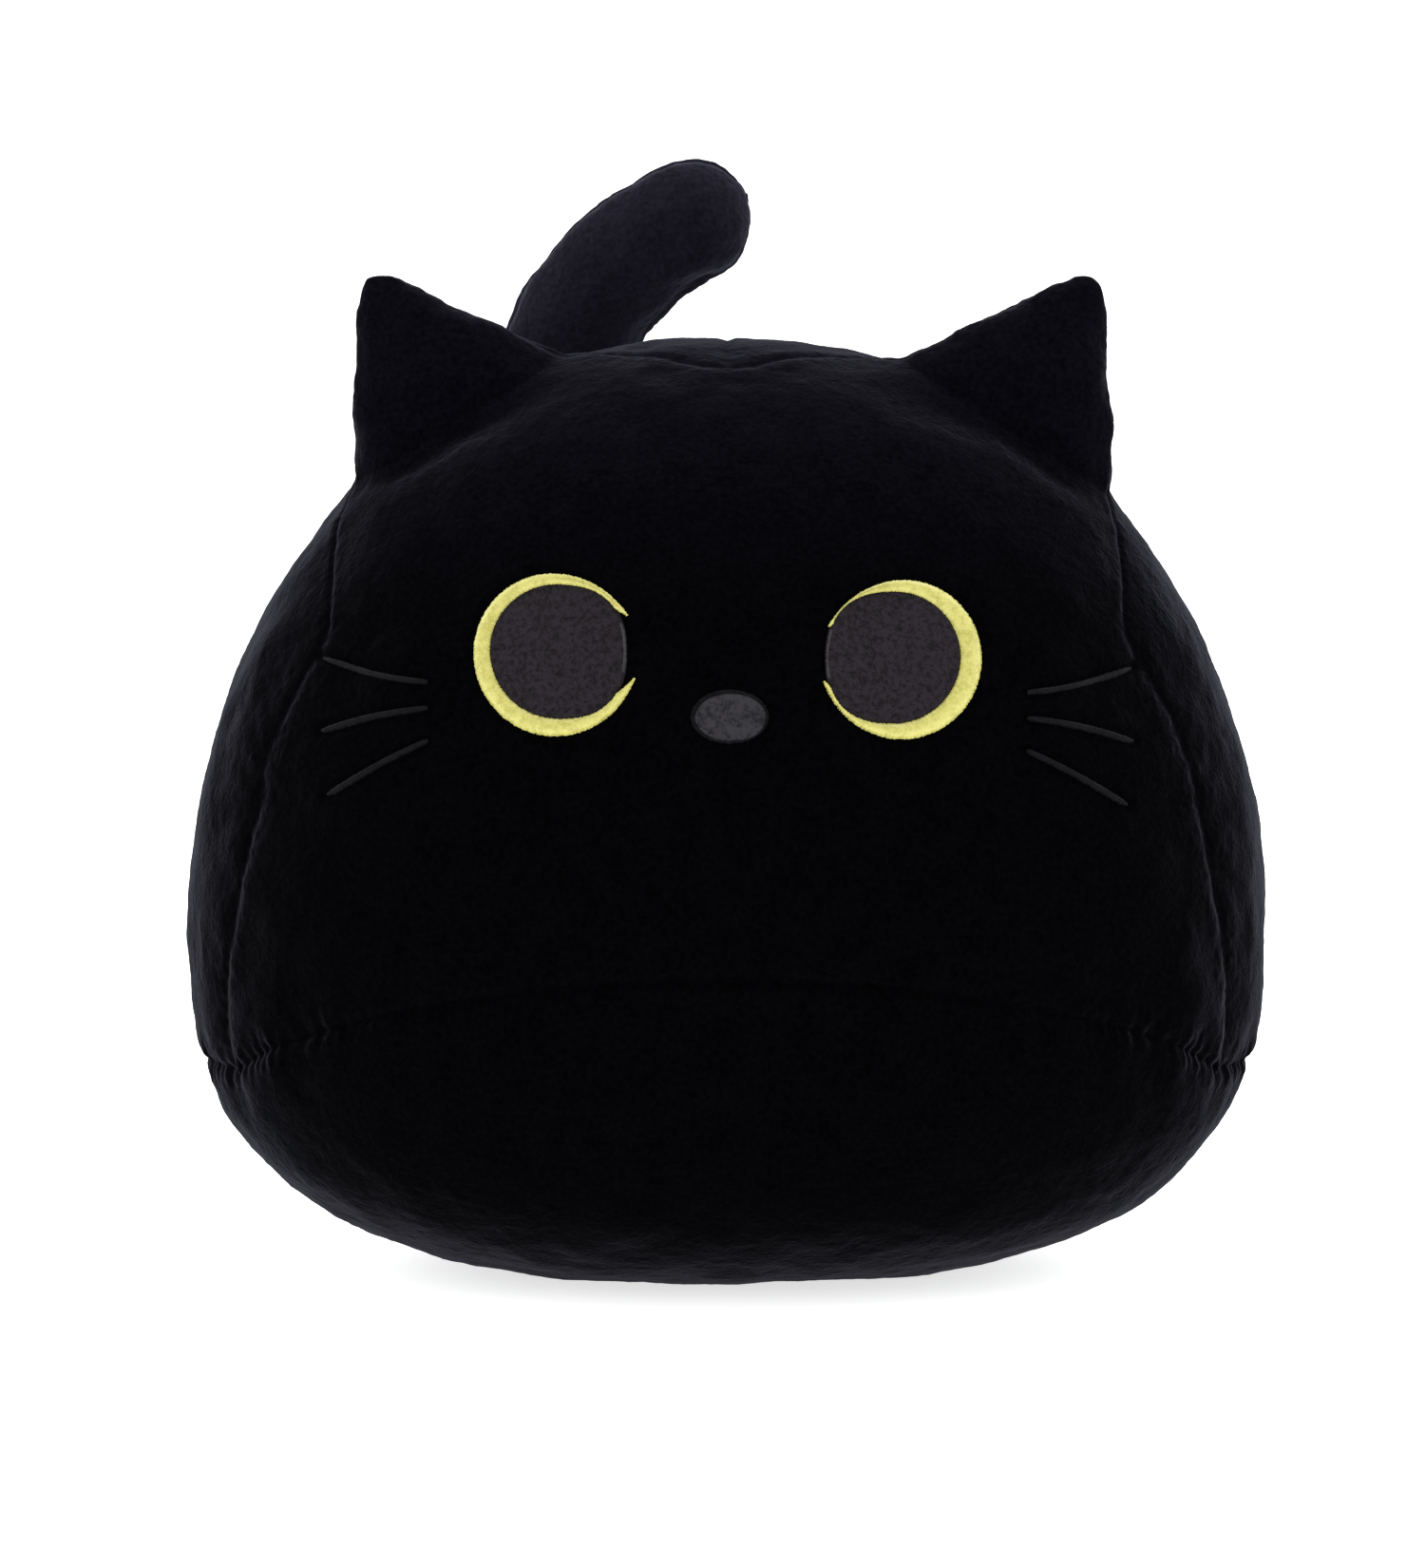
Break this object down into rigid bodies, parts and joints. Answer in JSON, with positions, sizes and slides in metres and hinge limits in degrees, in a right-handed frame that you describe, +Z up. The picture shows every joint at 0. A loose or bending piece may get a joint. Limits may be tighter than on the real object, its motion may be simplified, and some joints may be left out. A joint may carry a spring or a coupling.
{
  "type": "plush cat",
  "caption": "Round seated plush cat with pointed ears, embroidered eyes, nose and whiskers, and a tail that curls up behind the head; a stuffed toy and cushion.",
  "frame": {"origin": "centre of the flat area under the body that it rests on", "axes": "+Z up, -Y out of the face, +X to the cat's own left"},
  "size_m": [0.4, 0.3301, 0.4079],
  "materials": {
    "black_plush": "short dense knit plush pile",
    "polyester_fill": "loose polyester fibre fill",
    "embroidery_backing": "non-woven interlining",
    "yellow_satin": "satin-stitched embroidery thread",
    "charcoal_fill": "fill-stitched embroidery thread",
    "dark_thread": "satin-stitched embroidery thread",
    "black_thread": "spun polyester sewing thread",
    "label_ribbon": "woven satin ribbon, blank"
  },
  "bodies": {
    "body": {"body_stuffing": "polyester_fill", "face_panel": "black_plush", "belly_panel": "black_plush", "back_panel_left": "black_plush", "back_panel_right": "black_plush", "embroidery_backing": "embroidery_backing", "left_eye_ring": "yellow_satin", "left_eye_fill": "charcoal_fill", "left_eye_outline": "dark_thread", "right_eye_ring": "yellow_satin", "right_eye_fill": "charcoal_fill", "right_eye_outline": "dark_thread", "nose_fill": "charcoal_fill", "nose_outline": "dark_thread", "left_whisker_upper": "dark_thread", "left_whisker_middle": "dark_thread", "left_whisker_lower": "dark_thread", "right_whisker_upper": "dark_thread", "right_whisker_middle": "dark_thread", "right_whisker_lower": "dark_thread", "closing_thread": "black_thread"},
    "left_ear": {"left_ear_front": "black_plush", "left_ear_back": "black_plush", "left_ear_stuffing": "polyester_fill"},
    "right_ear": {"right_ear_front": "black_plush", "right_ear_back": "black_plush", "right_ear_stuffing": "polyester_fill"},
    "tail_root": {"tail_root_stuffing": "polyester_fill"},
    "tail": {"tail_stuffing": "polyester_fill", "tail_front_panel": "black_plush", "tail_back_panel": "black_plush"},
    "care_label": {"care_label": "label_ribbon"}
  },
  "joints": [
    {"name": "left_ear_fold", "type": "hinge", "parent": "body", "child": "left_ear", "pos_m": [0.1098, -0.014, 0.33418], "axis": [0.8533, 0, -0.5214], "range_deg": [-25, 30], "stiffness_Nm_per_rad": 0.05},
    {"name": "right_ear_fold", "type": "hinge", "parent": "body", "child": "right_ear", "pos_m": [-0.1098, -0.014, 0.33418], "axis": [0.8533, 0, 0.5214], "range_deg": [-25, 30], "stiffness_Nm_per_rad": 0.05},
    {"name": "tail_tilt", "type": "hinge", "parent": "body", "child": "tail_root", "pos_m": [0, 0.16811, 0.21228], "axis": [-1, 0, 0], "range_deg": [-8, 30], "stiffness_Nm_per_rad": 0.3},
    {"name": "tail_sway", "type": "hinge", "parent": "tail_root", "child": "tail", "pos_m": [0, 0.16811, 0.21228], "axis": [0, 1, 0], "range_deg": [-20, 25], "stiffness_Nm_per_rad": 0.3},
    {"name": "label_flip", "type": "hinge", "parent": "body", "child": "care_label", "pos_m": [0, 0.13063, 0.0452], "axis": [1, 0, 0], "range_deg": [-18, 105]}
  ]
}
